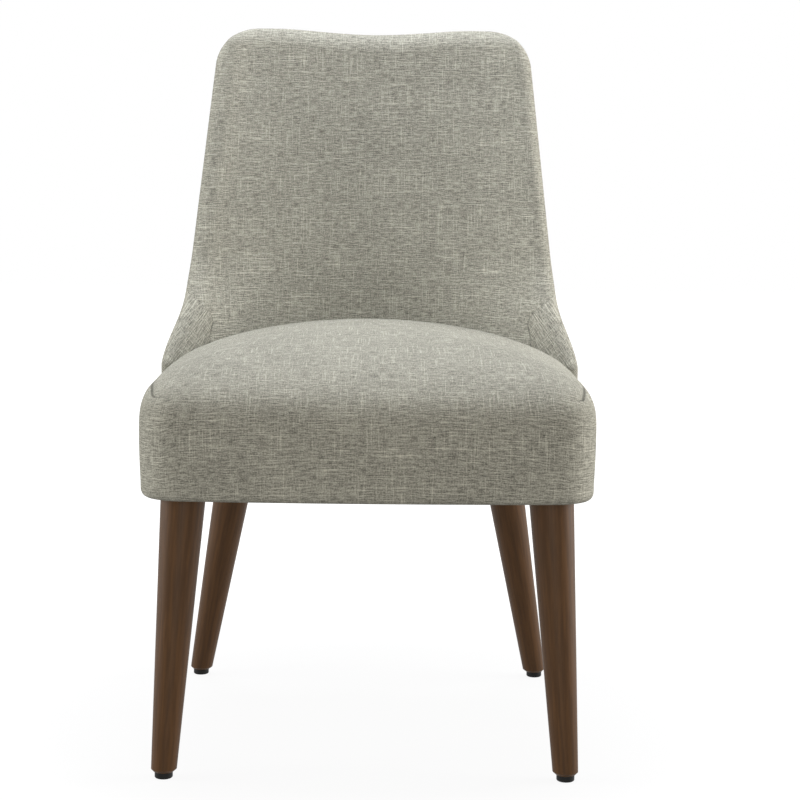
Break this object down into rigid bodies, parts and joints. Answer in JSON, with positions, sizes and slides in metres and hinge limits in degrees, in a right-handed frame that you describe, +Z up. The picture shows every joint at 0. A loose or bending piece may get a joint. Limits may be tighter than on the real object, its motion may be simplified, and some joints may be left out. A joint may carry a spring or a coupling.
{
  "type": "upholstered side chair",
  "caption": "Side chair with a domed seat and a barrel back that sweeps forward into low wings, all in linen-look fabric, on splayed round tapered walnut legs.",
  "frame": {"origin": "on the floor, under the middle of the chair's bounding box", "axes": "+Z up, +Y from the seat's front towards the back, +X to the right of someone who stands in front of the chair"},
  "size_m": [0.5308, 0.6203, 0.898],
  "materials": {
    "linen_weave": "matte greige linen-look plain weave",
    "dust_cloth": "black spunbond cloth",
    "foam": "open-cell upholstery foam",
    "walnut": "dark walnut stain, satin lacquer",
    "frame_wood": "raw sawn softwood",
    "plywood": "raw plywood",
    "dowel_wood": "raw beech",
    "glide_plastic": "black moulded plastic",
    "zinc_steel": "zinc plated"
  },
  "bodies": {
    "root": {"seat_cover": "linen_weave", "inside_back_cover": "linen_weave", "outside_back_cover": "linen_weave", "dust_cover": "dust_cloth", "seat_foam": "foam", "back_foam": "foam", "front_left_leg": "walnut", "front_right_leg": "walnut", "rear_left_leg": "walnut", "rear_right_leg": "walnut", "front_rail": "frame_wood", "rear_rail": "frame_wood", "left_side_rail": "frame_wood", "right_side_rail": "frame_wood", "front_left_corner_block": "frame_wood", "front_right_corner_block": "frame_wood", "rear_left_corner_block": "frame_wood", "rear_right_corner_block": "frame_wood", "seat_deck": "plywood", "back_shell": "plywood", "frame_dowels": "dowel_wood", "front_left_glide": "glide_plastic", "front_right_glide": "glide_plastic", "rear_left_glide": "glide_plastic", "rear_right_glide": "glide_plastic", "deck_screws": "zinc_steel", "shell_screws": "zinc_steel", "corner_block_screws": "zinc_steel", "leg_hanger_bolts": "zinc_steel", "leg_tee_nuts": "zinc_steel", "glide_nails": "zinc_steel", "dust_cover_staples": "zinc_steel"}
  },
  "joints": []
}
